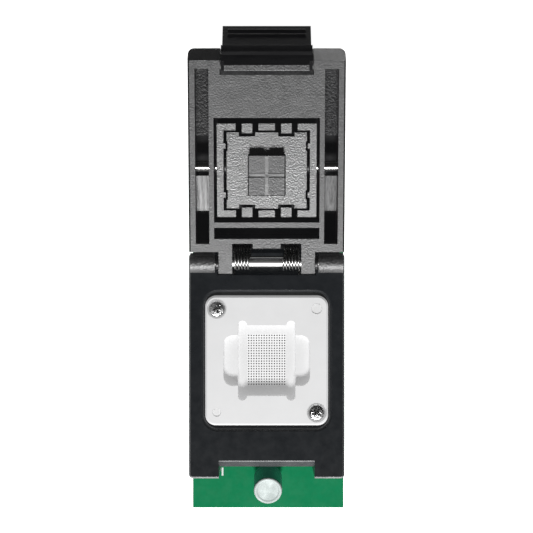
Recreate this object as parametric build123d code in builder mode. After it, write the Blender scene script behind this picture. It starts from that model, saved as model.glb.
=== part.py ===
from build123d import *
import os
from math import cos, pi, radians, sin

os.makedirs("parts", exist_ok=True)

# Circuit board and its plug-in pin header. Origin: centre of the pin pattern, z = 0 under the strips.
board_overhang = 0.25
board_length = 70.0
board_thickness = 1.6
board_front = 38.4
pins_per_row = 24
pin_pitch = 2.54
row_spacing = 15.24
pin_width = 0.64
pin_reach = 5.8
pin_hole_clearance = 0.08
strip_width = 2.5
strip_height = 2.5
strip_end = 1.2
strip_chamfer = 0.3

# Socket on the board: the hinge axis is the reference for all that follows.
socket_x = -0.3
hinge_y = 11.2
base_width = 30.0
base_height = 12.0
base_front = 41.55
base_corner = 0.8
base_edge = 0.35
hinge_lift = 1.1
open_tilt = 8.0
running_clearance = 0.05
press_clearance = 0.02
slide_clearance = 0.3

# Hinge
hinge_pin_radius = 0.75
hinge_pin_setback = 0.5
knuckle_radius = 1.9
knuckle_inset = 0.4
knuckle_width = 4.7
arm_radius = 2.1
arm_gap = 0.7
arm_width = 2.6
arm_root = 0.5
trough_clearance = 0.6
coil_outer_radius = 2.4
coil_wire = 0.4
coil_turns = 5.5
coil_pitch = 0.58
coil_side_gap = 0.11
coil_sag = 1.05

# Catch on the base front
catch_gap = 0.8
catch_edge = 38.1
catch_nose = 39.3
catch_ramp = 1.5
catch_drop = 2.8
catch_wall = 35.3

# Floating nest
nest_y = 18.85
nest_gap = 0.3
nest_length = 25.0
nest_corner = 2.0
nest_edge = 0.35
nest_sunk = 0.3
nest_floor = 0.8
nest_travel = 0.5
recess_wall = 2.85
recess_length = 26.4
recess_corner = 2.8
recess_chamfer = 0.45
pocket_width = 11.1
pocket_length = 13.6
pocket_depth = 2.1
pocket_corner = 0.5
wing_width = 16.7
wing_length = 9.75
wing_depth = 1.5
wing_corner = 1.8
relief_radius = 0.87
fixing_inset_x = 2.2
fixing_inset_y = 2.5
peg_radii = (1.0, 0.78)

# Contact block, probes and nest springs
block_ledge = 0.95
block_drop = 4.6
block_clearance = 0.1
probe_width = 0.2
probe_gap = 0.2
probe_pitch = 1.0
probe_columns = 6
probe_rows = 8
nest_spring_radius = 1.35
nest_spring_wire = 0.25
nest_spring_turns = 2.0
shoulder_radius = 0.9
shoulder_head_radius = 1.6
shoulder_head_height = 1.1
shoulder_depth = 4.0
head_recess = 0.15
slot_length = 1.92
slot_width = 0.45
slot_depth = 0.5

# Capacitor bent over the front of the board
can_radius = 2.6
can_length = 6.2
can_edge = 0.4
sleeve_thickness = 0.2
bung_length = 0.5
can_lean = 16.0
can_x = -0.05
can_top_y = 44.8
can_lift = 0.35
lead_radius = 0.25
lead_spacing = 2.0

# Lid
lid_inset = 0.2
lid_thickness = 8.5
lid_face = 0.95
lid_rear = 2.2
lid_end = 40.55
lid_face_end = 38.2
lid_bevel_drop = 2.75
lid_outer_edge = 0.8
lid_corner = 1.1
latch_recess = 35.5
ledge_reach = 1.2
ledge_height = 1.2
ear_width = 6.0
side_slot_inset = 2.6
side_slot_width = 2.6
side_slot_start = 3.75
side_slot_end = 36.6
side_slot_depth = 6.3
ramp_start = 9.6
ramp_end = 16.5
ramp_low = 5.4
ramp_high = 3.65
step_start = 24.2
step_depth = 3.2
window_frame = 4.8
window_length = 19.7
window_y = 17.7
window_depth = 6.75
rear_slot_start = 4.7
rear_slot_length = 2.15
spring_relief = 3.8
spring_relief_depth = 4.5
centre_block_gap = 0.25
centre_block_edge = 2.9

# Pusher: a ring that rocks on a cross pin, and a sprung plate kept in it by four snap fingers
cross_pin_radius = 1.0
cross_pin_depth = 2.95
cross_pin_y = 18.4
cross_pin_setback = 0.6
ring_gap = 0.55
ring_end_gap = 1.0
ring_bar = 1.35
ring_sunk = 0.1
ring_depth = 5.85
ring_floor = 1.1
ring_corner = 0.3
finger_share = 0.1958
finger_width = 2.1
finger_gap = 1.05
finger_head = 0.55
finger_head_height = 0.55
nub_y = 4.6
nub_length = 1.1
nub_height = 0.4
nub_clearance = 0.35
plate_gap = 0.55
plate_end_gap = 0.35
plate_thickness = 1.05
plate_skirt = 0.35
plate_notch_depth = 0.75
plate_notch_clearance = 0.5
boss_width = 6.8
boss_length = 7.5
boss_height = 1.6
boss_offset = 0.85
boss_groove = 0.75
boss_groove_depth = 0.6
boss_draft = 2.0
plate_spring_radius = 1.1
plate_spring_wire = 0.3
plate_spring_turns = 2.0
plate_spring_inset_x = 2.9
plate_spring_inset_y = 3.1

# Latch
latch_side_gap = 0.35
latch_pin_radius = 0.75
latch_pin_setback = 0.4
latch_pin_y = 39.0
latch_pin_depth = 4.85
hook_tip = 36.2
hook_gap = 0.15
hook_height = 1.0
hook_lead = 0.2
hook_flat = 1.0
hook_side = 0.6
hook_side_length = 1.7
latch_inner = 39.7
latch_wall = 1.2
latch_back = 37.4
latch_flare = 0.9
latch_back_rise = 1.6
latch_inner_rise = 3.2
latch_tab = 44.95
latch_tab_height = 0.9
latch_top_gap = 0.15
grip_radius = 0.3
grip_pitch = 1.2
grip_margin = 1.0
latch_spring_radius = 1.1
latch_spring_wire = 0.3
latch_spring_turns = 3.5
latch_spring_inset = 3.7
latch_spring_depth = 6.9
latch_spring_bore = 2.2
seat_gap = 0.02

cut_margin = 1.0

# Sizes that follow the housing, so that the base, the lid and the pieces in them stay together
block_height = base_height - block_drop
board_width = base_width + 2 * board_overhang
recess_width = base_width - 2 * recess_wall
nest_width = recess_width - 2 * nest_gap
fixing_x = nest_width / 2 - fixing_inset_x
fixing_y = nest_length / 2 - fixing_inset_y
hinge_pin_length = base_width - 2 * hinge_pin_setback
knuckle_inner = base_width / 2 - knuckle_inset - knuckle_width
arm_inner = knuckle_inner - arm_gap - arm_width
coil_length = coil_turns * coil_pitch
coil_inner_x = arm_inner - coil_side_gap - coil_wire - coil_length
centre_block_width = 2 * (coil_inner_x - centre_block_gap)
lid_width = base_width - 2 * lid_inset
side_slot_x = lid_width / 2 - side_slot_inset
window_width = lid_width - 2 * window_frame
cross_pin_length = lid_width - 2 * cross_pin_setback
latch_pin_length = lid_width - 2 * latch_pin_setback
latch_recess_width = lid_width - 2 * ear_width
latch_width = latch_recess_width - 2 * latch_side_gap
catch_width = latch_width + 2 * catch_gap
latch_spring_x = latch_width / 2 - latch_spring_inset
ring_width = window_width - 2 * ring_gap
ring_length = window_length - 2 * ring_end_gap
ring_inner_width = ring_width - 2 * ring_bar
ring_inner_length = ring_length - 2 * ring_bar
finger_x = finger_share * ring_width
plate_width = ring_inner_width - 2 * plate_gap
plate_length = ring_inner_length - 2 * plate_end_gap
plate_spring_x = ring_inner_width / 2 - plate_spring_inset_x
plate_spring_y = ring_inner_length / 2 - plate_spring_inset_y

board_top = strip_height + board_thickness
base_top = board_top + base_height
hinge_z = base_top + hinge_lift
deck = Plane((socket_x, hinge_y, board_top))
side = Plane(origin=(socket_x, hinge_y, base_top), x_dir=(0, 1, 0), z_dir=(1, 0, 0))
tilt = radians(open_tilt)
lid_plane = Plane(origin=(socket_x, hinge_y, hinge_z), x_dir=(1, 0, 0), z_dir=(0, -sin(tilt), cos(tilt)))
lid_side = Plane(origin=lid_plane.origin, x_dir=lid_plane.y_dir, z_dir=(1, 0, 0))
face = lid_plane.offset(lid_face)


def add_coil(plane, radius, wire, length, turns, steps=8):
    count = round(turns * steps)
    spots = [
        plane.from_local_coords((
            radius * cos(2 * pi * i / steps), radius * sin(2 * pi * i / steps),
            wire / 2 + (length - wire) * i / count,
        ))
        for i in range(count + 1)
    ]
    with BuildLine() as path:
        Polyline(*spots)
    with BuildSketch(Plane(path.line @ 0, z_dir=path.line % 0)) as section:
        Rectangle(wire, wire)
    sweep(sections=section.sketch, path=path.line, transition=Transition.RIGHT)


# Board, header strips and header pins
pin_hole = pin_width + 2 * pin_hole_clearance
header_length = (pins_per_row - 1) * pin_pitch

with BuildPart() as circuit_board:
    with BuildSketch(Plane.XY.offset(strip_height)):
        with Locations((0, board_length / 2 - board_front)):
            Rectangle(board_width, board_length)
    extrude(amount=board_thickness)
circuit_board.part.label = "circuit_board"
export_step(circuit_board.part, "parts/circuit_board.step")

for hand, row_x in (("left", -row_spacing / 2), ("right", row_spacing / 2)):
    with BuildPart() as header_strip:
        with BuildSketch():
            with Locations((row_x, 0)):
                Rectangle(strip_width, header_length + 2 * strip_end)
        extrude(amount=strip_height)
        chamfer(header_strip.edges().filter_by(Axis.Y), strip_chamfer)
        with BuildSketch():
            with Locations((row_x, 0)):
                with GridLocations(pin_pitch, pin_pitch, 1, pins_per_row):
                    Rectangle(pin_hole, pin_hole)
        extrude(amount=strip_height, mode=Mode.SUBTRACT)
    header_strip.part.label = f"header_strip_{hand}"
    export_step(header_strip.part, f"parts/header_strip_{hand}.step")

    with BuildPart() as header_pins:
        with BuildSketch(Plane.XY.offset(-pin_reach)):
            with Locations((row_x, 0)):
                with GridLocations(pin_pitch, pin_pitch, 1, pins_per_row):
                    Rectangle(pin_width, pin_width)
        extrude(amount=pin_reach + strip_height)
    header_pins.part.label = f"header_pins_{hand}"
    export_step(header_pins.part, f"parts/header_pins_{hand}.step")

# Base housing: recess and ledge for the nest, trough for the lid arms, knuckles and front catch
block_width = recess_width + 2 * block_ledge
block_length = recess_length + 2 * block_ledge
trough_floor = hinge_lift - arm_radius - trough_clearance
trough_front = -arm_radius - slide_clearance

with BuildPart() as base_housing:
    with BuildSketch(deck):
        with Locations((0, (knuckle_radius - base_front) / 2)):
            RectangleRounded(base_width, base_front + knuckle_radius, base_corner)
    extrude(amount=base_height)
    chamfer(base_housing.faces().sort_by(Axis.Z)[-1].edges(), base_edge)
    with BuildSketch(deck.offset(block_height)):
        with Locations((0, -nest_y)):
            RectangleRounded(recess_width, recess_length, recess_corner)
    extrude(amount=base_height - block_height, mode=Mode.SUBTRACT)
    rim = base_housing.faces().sort_by(Axis.Z)[-1].inner_wires()[0]
    chamfer(rim.edges(), recess_chamfer)
    with BuildSketch(deck):
        with Locations((0, -nest_y)):
            RectangleRounded(block_width, block_length, recess_corner)
    extrude(amount=block_height, mode=Mode.SUBTRACT)
    with BuildSketch(side):
        Polygon(
            (-catch_edge, base_edge), (-catch_edge, 0), (-catch_nose, -catch_ramp), (-catch_nose, -catch_drop),
            (-catch_wall, -catch_drop), (-catch_wall, -base_height), (-base_front, -base_height),
            (-base_front, base_edge), align=None,
        )
    extrude(amount=catch_width / 2, both=True, mode=Mode.SUBTRACT)
    with BuildSketch(side):
        with Locations((trough_front, trough_floor)):
            Rectangle(
                arm_radius + slide_clearance + knuckle_radius, -trough_floor, align=(Align.MIN, Align.MIN)
            )
    extrude(amount=(arm_inner + arm_width + knuckle_inner) / 2, both=True, mode=Mode.SUBTRACT)
    for start in (knuckle_inner, -knuckle_inner - knuckle_width):
        with BuildSketch(side.offset(start)):
            with Locations((0, hinge_lift)):
                Circle(knuckle_radius)
                Rectangle(2 * knuckle_radius, hinge_lift + base_edge, align=(Align.CENTER, Align.MAX))
        extrude(amount=knuckle_width)
    with BuildSketch(side):
        with Locations((0, hinge_lift)):
            Circle(hinge_pin_radius + press_clearance)
    extrude(amount=base_width / 2, both=True, mode=Mode.SUBTRACT)
base_housing.part.label = "base_housing"
export_step(base_housing.part, "parts/base_housing.step")

# Contact block with its guide pegs, the probes, the nest springs and the shoulder screws
nest_top = base_height - nest_sunk
pocket_floor = nest_top - pocket_depth
nest_bottom = pocket_floor - nest_floor
nest_thickness = pocket_depth + nest_floor
screw_spots = [(-fixing_x, fixing_y - nest_y), (fixing_x, -fixing_y - nest_y)]
peg_spots = [(fixing_x, fixing_y - nest_y), (-fixing_x, -fixing_y - nest_y)]
head_top = nest_top - head_recess
head_seat = head_top - shoulder_head_height

with BuildPart() as contact_block:
    with BuildSketch(deck):
        with Locations((0, -nest_y)):
            RectangleRounded(
                block_width - 2 * block_clearance, block_length - 2 * block_clearance, recess_corner
            )
    extrude(amount=block_height)
    with BuildSketch(deck.offset(block_height)):
        with Locations(screw_spots):
            Circle(shoulder_radius + press_clearance)
    extrude(amount=-shoulder_depth, mode=Mode.SUBTRACT)
    with BuildSketch(deck.offset(block_height)):
        for spot, radius in zip(peg_spots, peg_radii):
            with Locations(spot):
                Circle(radius)
    extrude(amount=head_top - block_height)
contact_block.part.label = "contact_block"
export_step(contact_block.part, "parts/contact_block.step")

with BuildPart() as contact_probes:
    with BuildSketch(deck.offset(block_height)):
        with Locations((0, -nest_y)):
            with GridLocations(probe_pitch, probe_pitch, probe_columns, probe_rows):
                Rectangle(probe_width, probe_width)
    extrude(amount=nest_bottom - nest_travel - probe_gap - block_height)
contact_probes.part.label = "contact_probes"
export_step(contact_probes.part, "parts/contact_probes.step")

with BuildPart() as nest_springs:
    for x, y in screw_spots + peg_spots:
        seat = Plane(deck.from_local_coords((x, y, block_height + seat_gap)))
        add_coil(
            seat, nest_spring_radius, nest_spring_wire, nest_bottom - block_height - 2 * seat_gap,
            nest_spring_turns, 6,
        )
nest_springs.part.label = "nest_springs"
export_step(nest_springs.part, "parts/nest_springs.step")

with BuildPart() as shoulder_screws:
    with BuildSketch(deck.offset(block_height - shoulder_depth + seat_gap)):
        with Locations(screw_spots):
            Circle(shoulder_radius)
    extrude(amount=head_seat - block_height + shoulder_depth - seat_gap)
    with BuildSketch(deck.offset(head_seat)):
        with Locations(screw_spots):
            Circle(shoulder_head_radius)
    extrude(amount=shoulder_head_height)
    with BuildSketch(deck.offset(head_top)):
        with Locations(screw_spots):
            Rectangle(slot_length, slot_width)
            Rectangle(slot_width, slot_length)
    extrude(amount=-slot_depth, mode=Mode.SUBTRACT)
shoulder_screws.part.label = "shoulder_screws"
export_step(shoulder_screws.part, "parts/shoulder_screws.step")

# Floating chip nest
with BuildPart() as chip_nest:
    with BuildSketch(deck.offset(nest_bottom)):
        with Locations((0, -nest_y)):
            RectangleRounded(nest_width, nest_length, nest_corner)
    extrude(amount=nest_thickness)
    chamfer(chip_nest.faces().sort_by(Axis.Z)[-1].edges(), nest_edge)
    with BuildSketch(deck.offset(nest_top)):
        with Locations((0, -nest_y)):
            RectangleRounded(wing_width, wing_length, wing_corner)
    extrude(amount=-wing_depth, mode=Mode.SUBTRACT)
    with BuildSketch(deck.offset(nest_top)):
        with Locations((0, -nest_y)):
            RectangleRounded(pocket_width, pocket_length, pocket_corner)
            with GridLocations(pocket_width - 2 * relief_radius, pocket_length, 2, 2):
                Circle(relief_radius)
    extrude(amount=-pocket_depth, mode=Mode.SUBTRACT)
    with BuildSketch(deck.offset(head_seat - running_clearance)):
        with Locations(screw_spots):
            Circle(shoulder_head_radius + slide_clearance)
    extrude(amount=shoulder_head_height + nest_sunk, mode=Mode.SUBTRACT)
    with BuildSketch(deck.offset(nest_bottom)):
        with Locations(screw_spots):
            Circle(shoulder_radius + running_clearance)
        for spot, radius in zip(peg_spots, peg_radii):
            with Locations(spot):
                Circle(radius + running_clearance)
    extrude(amount=nest_thickness, mode=Mode.SUBTRACT)
chip_nest.part.label = "chip_nest"
export_step(chip_nest.part, "parts/chip_nest.step")

# Leaning capacitor: the can's top centre sets its plane
lean = radians(can_lean)
outer_radius = can_radius + sleeve_thickness
can_rise = can_lift + outer_radius * sin(lean) + bung_length * cos(lean)
can_foot_y = hinge_y - can_top_y + can_length * sin(lean)
can_plane = Plane(
    origin=(can_x, can_foot_y, board_top + can_rise), x_dir=(1, 0, 0), z_dir=(0, -sin(lean), cos(lean))
)
with BuildPart() as capacitor_can:
    with BuildSketch(can_plane):
        Circle(can_radius)
    extrude(amount=can_length)
    chamfer(capacitor_can.edges().sort_by(Axis(can_plane.origin, can_plane.z_dir))[-1], can_edge)
capacitor_can.part.label = "capacitor_can"
export_step(capacitor_can.part, "parts/capacitor_can.step")

with BuildPart() as capacitor_sleeve:
    with BuildSketch(can_plane):
        Circle(outer_radius)
        Circle(can_radius + press_clearance, mode=Mode.SUBTRACT)
    extrude(amount=can_length - can_edge)
capacitor_sleeve.part.label = "capacitor_sleeve"
export_step(capacitor_sleeve.part, "parts/capacitor_sleeve.step")

with BuildPart() as capacitor_bung:
    with BuildSketch(can_plane):
        Circle(can_radius - can_edge)
    extrude(amount=-bung_length)
capacitor_bung.part.label = "capacitor_bung"
export_step(capacitor_bung.part, "parts/capacitor_bung.step")

lead_top = can_plane.from_local_coords((0, can_radius / 2, -bung_length))
with BuildPart() as capacitor_leads:
    with BuildSketch(Plane((lead_top.X, lead_top.Y, board_top))):
        with GridLocations(lead_spacing, 1, 2, 1):
            Circle(lead_radius)
    extrude(amount=lead_top.Z + lead_radius - board_top)
    split(bisect_by=can_plane.offset(-bung_length), keep=Keep.BOTTOM)
capacitor_leads.part.label = "capacitor_leads"
export_step(capacitor_leads.part, "parts/capacitor_leads.step")

# Hinge pin and the double torsion spring that hangs on it
with BuildPart() as hinge_pin:
    with BuildSketch(side):
        with Locations((0, hinge_lift)):
            Circle(hinge_pin_radius)
    extrude(amount=hinge_pin_length / 2, both=True)
hinge_pin.part.label = "hinge_pin"
export_step(hinge_pin.part, "parts/hinge_pin.step")

coil_radius = coil_outer_radius - coil_wire / 2
coil_y = hinge_y + coil_sag
leg_z = hinge_z - coil_radius
leg_end = hinge_y + trough_front + running_clearance
bridge_half = coil_inner_x + coil_wire / 2

with BuildPart() as hinge_spring:
    for turn in (-1, 1):
        coil_start = Plane(
            origin=(socket_x + turn * coil_inner_x, coil_y, hinge_z), x_dir=(0, 0, 1), z_dir=(turn, 0, 0)
        )
        add_coil(coil_start, coil_radius, coil_wire, coil_length + coil_wire, coil_turns, 10)
        with Locations((socket_x + turn * (bridge_half + coil_length), coil_y + coil_wire / 2, leg_z)):
            Box(
                coil_wire, coil_y + coil_wire / 2 - leg_end, coil_wire,
                align=(Align.CENTER, Align.MAX, Align.CENTER),
            )
    with Locations((socket_x, coil_y, hinge_z + coil_radius)):
        Box(2 * bridge_half + coil_wire, coil_wire, coil_wire)
hinge_spring.part.label = "hinge_spring"
export_step(hinge_spring.part, "parts/hinge_spring.step")

# Lid, drawn in its own plane as it lies open: local y runs from the hinge, local z out of its inner face
outer_face = lid_face - lid_thickness
latch_z = lid_face - latch_pin_depth
cross_z = lid_face - cross_pin_depth
slot_floor = lid_face - side_slot_depth
fingers = GridLocations(2 * finger_x, 1, 2, 1)

with BuildPart() as lid_housing:
    with BuildSketch(lid_side):
        Polygon(
            (lid_rear, outer_face), (lid_rear, lid_face), (lid_face_end, lid_face),
            (lid_end, lid_face - lid_bevel_drop), (lid_end, outer_face), align=None,
        )
    extrude(amount=lid_width / 2, both=True)
    with BuildSketch(lid_plane.offset(outer_face)) as plan:
        with Locations((0, lid_rear)):
            Rectangle(lid_width, lid_end - lid_rear, align=(Align.CENTER, Align.MIN))
        fillet(plan.vertices().group_by(Axis.Y)[-1], lid_corner)
    extrude(amount=lid_thickness, mode=Mode.INTERSECT)
    chamfer(lid_housing.faces().sort_by(Axis(lid_plane.origin, lid_plane.z_dir))[0].edges(), lid_outer_edge)
    with BuildSketch(lid_side):
        with Locations((latch_recess, outer_face)):
            Rectangle(
                lid_end - latch_recess + cut_margin, lid_thickness + cut_margin, align=(Align.MIN, Align.MIN)
            )
        with Locations((latch_recess, latch_z)):
            Rectangle(2 * ledge_reach, ledge_height, mode=Mode.SUBTRACT)
    extrude(amount=latch_recess_width / 2, both=True, mode=Mode.SUBTRACT)
    for x in (-side_slot_x, side_slot_x):
        with BuildSketch(lid_side.offset(x)):
            Polygon(
                (side_slot_start, lid_face), (side_slot_start, slot_floor), (ramp_start, slot_floor),
                (ramp_start, lid_face - ramp_low), (ramp_end, lid_face - ramp_high), (ramp_end, slot_floor),
                (step_start, slot_floor), (step_start, lid_face - step_depth),
                (side_slot_end, lid_face - step_depth), (side_slot_end, lid_face), align=None,
            )
        extrude(amount=side_slot_width / 2, both=True, mode=Mode.SUBTRACT)
    with BuildSketch(face):
        with Locations((0, rear_slot_start + rear_slot_length / 2)):
            Rectangle(window_width, rear_slot_length)
    extrude(amount=-side_slot_depth, mode=Mode.SUBTRACT)
    with BuildSketch(face):
        with Locations((0, window_y)):
            Rectangle(window_width, window_length)
    extrude(amount=-window_depth, mode=Mode.SUBTRACT)
    with BuildSketch(face):
        with Locations((0, lid_rear)):
            Rectangle(2 * arm_inner, spring_relief - lid_rear, align=(Align.CENTER, Align.MIN))
            Rectangle(
                centre_block_width, spring_relief - lid_rear, align=(Align.CENTER, Align.MIN),
                mode=Mode.SUBTRACT,
            )
            Rectangle(centre_block_width, centre_block_edge - lid_rear, align=(Align.CENTER, Align.MIN))
    extrude(amount=-spring_relief_depth, mode=Mode.SUBTRACT)
    for start in (arm_inner, -arm_inner - arm_width):
        with BuildSketch(lid_side.offset(start)):
            Circle(arm_radius)
            with Locations((0, -arm_radius)):
                Rectangle(lid_rear + arm_root, arm_radius + lid_face, align=(Align.MIN, Align.MIN))
        extrude(amount=arm_width)
    with BuildSketch(lid_side):
        Circle(hinge_pin_radius + running_clearance)
        with Locations((cross_pin_y, cross_z)):
            Circle(cross_pin_radius + press_clearance)
        with Locations((latch_pin_y, latch_z)):
            Circle(latch_pin_radius + press_clearance)
    extrude(amount=lid_width / 2, both=True, mode=Mode.SUBTRACT)
    latch_spring_z = lid_face - latch_spring_depth
    bore_plane = Plane(
        origin=lid_plane.from_local_coords((0, latch_recess, latch_spring_z)), x_dir=(1, 0, 0),
        z_dir=-lid_plane.y_dir,
    )
    with BuildSketch(bore_plane):
        with GridLocations(2 * latch_spring_x, 1, 2, 1):
            Circle(latch_spring_radius + latch_spring_wire / 2 + slide_clearance / 2)
    extrude(amount=latch_spring_bore, mode=Mode.SUBTRACT)
lid_housing.part.label = "lid_housing"
export_step(lid_housing.part, "parts/lid_housing.step")

for name, y, z, radius, length in (
    ("cross_pin", cross_pin_y, cross_z, cross_pin_radius, cross_pin_length),
    ("latch_pin", latch_pin_y, latch_z, latch_pin_radius, latch_pin_length),
):
    with BuildPart() as steel_pin:
        with BuildSketch(lid_side):
            with Locations((y, z)):
                Circle(radius)
        extrude(amount=length / 2, both=True)
    steel_pin.part.label = name
    export_step(steel_pin.part, f"parts/{name}.step")

# Pusher ring: a tray with four snap fingers between gaps in its end bars
ring_top = face.offset(-ring_sunk)
head_y = ring_length / 2 - (ring_bar + finger_head) / 2

with BuildPart() as pusher_ring:
    with BuildSketch(ring_top):
        with Locations((0, window_y)):
            RectangleRounded(ring_width, ring_length, ring_corner)
    extrude(amount=-ring_depth)
    with BuildSketch(ring_top):
        with Locations((0, window_y)):
            Rectangle(ring_inner_width, ring_inner_length)
            with GridLocations(ring_inner_width, 2 * nub_y, 2, 2):
                Rectangle(2 * nub_height, nub_length, mode=Mode.SUBTRACT)
    extrude(amount=ring_floor - ring_depth, mode=Mode.SUBTRACT)
    with BuildSketch(ring_top):
        with Locations((0, window_y)):
            with GridLocations(2 * finger_x, ring_length - ring_bar, 2, 2):
                Rectangle(finger_width + 2 * finger_gap, ring_bar)
                Rectangle(finger_width, ring_bar, mode=Mode.SUBTRACT)
    extrude(amount=ring_floor - ring_depth, mode=Mode.SUBTRACT)
    with BuildSketch(ring_top):
        with Locations((0, window_y)):
            with GridLocations(2 * finger_x, 2 * head_y, 2, 2):
                Rectangle(finger_width, ring_bar + finger_head)
    extrude(amount=-finger_head_height)
    with BuildSketch(lid_side):
        with Locations((cross_pin_y, cross_z)):
            Circle(cross_pin_radius + running_clearance)
    extrude(amount=ring_width, both=True, mode=Mode.SUBTRACT)
pusher_ring.part.label = "pusher_ring"
export_step(pusher_ring.part, "parts/pusher_ring.step")

# Pressure plate: a skirt under the finger heads, a notched top and a boss of four pads
notch_width = finger_width + 2 * plate_notch_clearance
with BuildPart() as pressure_plate:
    with BuildSketch(face.offset(-plate_thickness)):
        with Locations((0, window_y)):
            Rectangle(plate_width, plate_length)
            with GridLocations(ring_inner_width, 2 * nub_y, 2, 2):
                Rectangle(
                    2 * (nub_height + nub_clearance), nub_length + 2 * nub_clearance, mode=Mode.SUBTRACT
                )
    extrude(amount=plate_thickness)
    with BuildSketch(face):
        with Locations((0, window_y)):
            with GridLocations(2 * finger_x, plate_length, 2, 2):
                Rectangle(notch_width, 2 * plate_notch_depth)
    extrude(amount=plate_skirt - plate_thickness, mode=Mode.SUBTRACT)
    with BuildSketch(face):
        with Locations((0, window_y - boss_offset)):
            Rectangle(boss_width, boss_length)
    extrude(amount=boss_height, taper=boss_draft)
    with BuildSketch(face.offset(boss_height)):
        with Locations((0, window_y - boss_offset)):
            Rectangle(boss_width, boss_groove)
            Rectangle(boss_groove, boss_length)
    extrude(amount=-boss_groove_depth, mode=Mode.SUBTRACT)
pressure_plate.part.label = "pressure_plate"
export_step(pressure_plate.part, "parts/pressure_plate.step")

with BuildPart() as plate_springs:
    tray = lid_face - ring_sunk - ring_depth + ring_floor
    for x in (-plate_spring_x, plate_spring_x):
        for y in (-plate_spring_y, plate_spring_y):
            seat = Plane(
                origin=lid_plane.from_local_coords((x, window_y + y, tray + seat_gap)), x_dir=(1, 0, 0),
                z_dir=lid_plane.z_dir,
            )
            add_coil(
                seat, plate_spring_radius, plate_spring_wire,
                lid_face - plate_thickness - tray - 2 * seat_gap, plate_spring_turns, 6,
            )
plate_springs.part.label = "plate_springs"
export_step(plate_springs.part, "parts/plate_springs.step")

# Latch: one profile from the hook to the thumb tab, with two grip ridges
hook_seat = lid_face + catch_drop + latch_top_gap + hook_gap
hook_end = hook_seat + hook_height
tab_z = outer_face + latch_top_gap
flare_start = latch_z + latch_flare
outer_u = latch_inner + latch_wall
with BuildPart() as latch:
    with BuildSketch(lid_side):
        Polygon(
            (hook_tip, hook_seat), (hook_tip, hook_end - hook_lead), (hook_tip + hook_flat, hook_end),
            (outer_u, hook_seat - hook_height), (outer_u, flare_start), (latch_tab, tab_z + latch_tab_height),
            (latch_tab, tab_z), (latch_back, tab_z), (latch_back, latch_z + latch_back_rise),
            (latch_inner, latch_z + latch_inner_rise), (latch_inner, hook_seat), align=None,
        )
        with Locations((latch_pin_y, latch_z)):
            Circle(latch_pin_radius + running_clearance, mode=Mode.SUBTRACT)
    extrude(amount=latch_width / 2, both=True)
    flare = Vector(latch_tab - outer_u, tab_z + latch_tab_height - flare_start).normalized()
    with BuildSketch(lid_side):
        for step in (1, 2):
            with Locations((latch_tab - step * grip_pitch * flare.X,
                            tab_z + latch_tab_height - step * grip_pitch * flare.Y)):
                Circle(grip_radius)
    extrude(amount=latch_width / 2 - grip_margin, both=True)
    with BuildSketch(lid_plane.offset(hook_end)):
        for s in (-1, 1):
            with Locations((s * latch_width / 2, hook_tip)):
                Rectangle(2 * hook_side, 2 * hook_side_length)
    extrude(amount=-2 * hook_height, mode=Mode.SUBTRACT)
latch.part.label = "latch"
export_step(latch.part, "parts/latch.step")

with BuildPart() as latch_springs:
    for x in (-latch_spring_x, latch_spring_x):
        seat = Plane(
            origin=lid_plane.from_local_coords(
                (x, latch_recess - latch_spring_bore + seat_gap, latch_spring_z)
            ),
            x_dir=(1, 0, 0), z_dir=lid_plane.y_dir,
        )
        add_coil(
            seat, latch_spring_radius, latch_spring_wire,
            latch_back - latch_recess + latch_spring_bore - 2 * seat_gap, latch_spring_turns,
        )
latch_springs.part.label = "latch_springs"
export_step(latch_springs.part, "parts/latch_springs.step")
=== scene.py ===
import bpy
import bmesh
from math import cos, pi, radians, sin
from mathutils import Matrix, Vector


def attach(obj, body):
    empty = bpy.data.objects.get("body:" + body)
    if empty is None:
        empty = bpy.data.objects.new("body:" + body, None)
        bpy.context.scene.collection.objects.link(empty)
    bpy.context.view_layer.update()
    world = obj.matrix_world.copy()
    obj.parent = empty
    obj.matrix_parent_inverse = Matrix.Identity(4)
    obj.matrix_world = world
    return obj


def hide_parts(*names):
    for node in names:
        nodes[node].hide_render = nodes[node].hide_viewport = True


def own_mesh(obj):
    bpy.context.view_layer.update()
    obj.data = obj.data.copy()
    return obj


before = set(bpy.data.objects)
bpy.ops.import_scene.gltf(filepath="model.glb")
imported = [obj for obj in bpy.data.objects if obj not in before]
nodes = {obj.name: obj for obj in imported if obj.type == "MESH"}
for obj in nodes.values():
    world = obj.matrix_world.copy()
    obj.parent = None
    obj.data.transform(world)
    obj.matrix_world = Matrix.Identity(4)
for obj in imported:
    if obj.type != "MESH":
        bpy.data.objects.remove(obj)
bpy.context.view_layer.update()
mm = 0.001

# the open lid lies in its own plane: x across, y away from the hinge, z out of its inner face
lidPose = {"hinge": (-0.3, 11.2, 17.2), "tilt": 8.0, "face": 0.95}
lidPlane = Matrix.Translation(lidPose["hinge"]) @ Matrix.Rotation(radians(lidPose["tilt"]), 4, "X")
unposed = lidPlane.inverted()
lidOut = lidPlane.to_3x3() @ Vector((0, 0, 1))
deck = {"x": -0.3, "hingeY": 11.2, "baseTop": 16.1}
print("frame loaded", len(nodes), "nodes")


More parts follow.
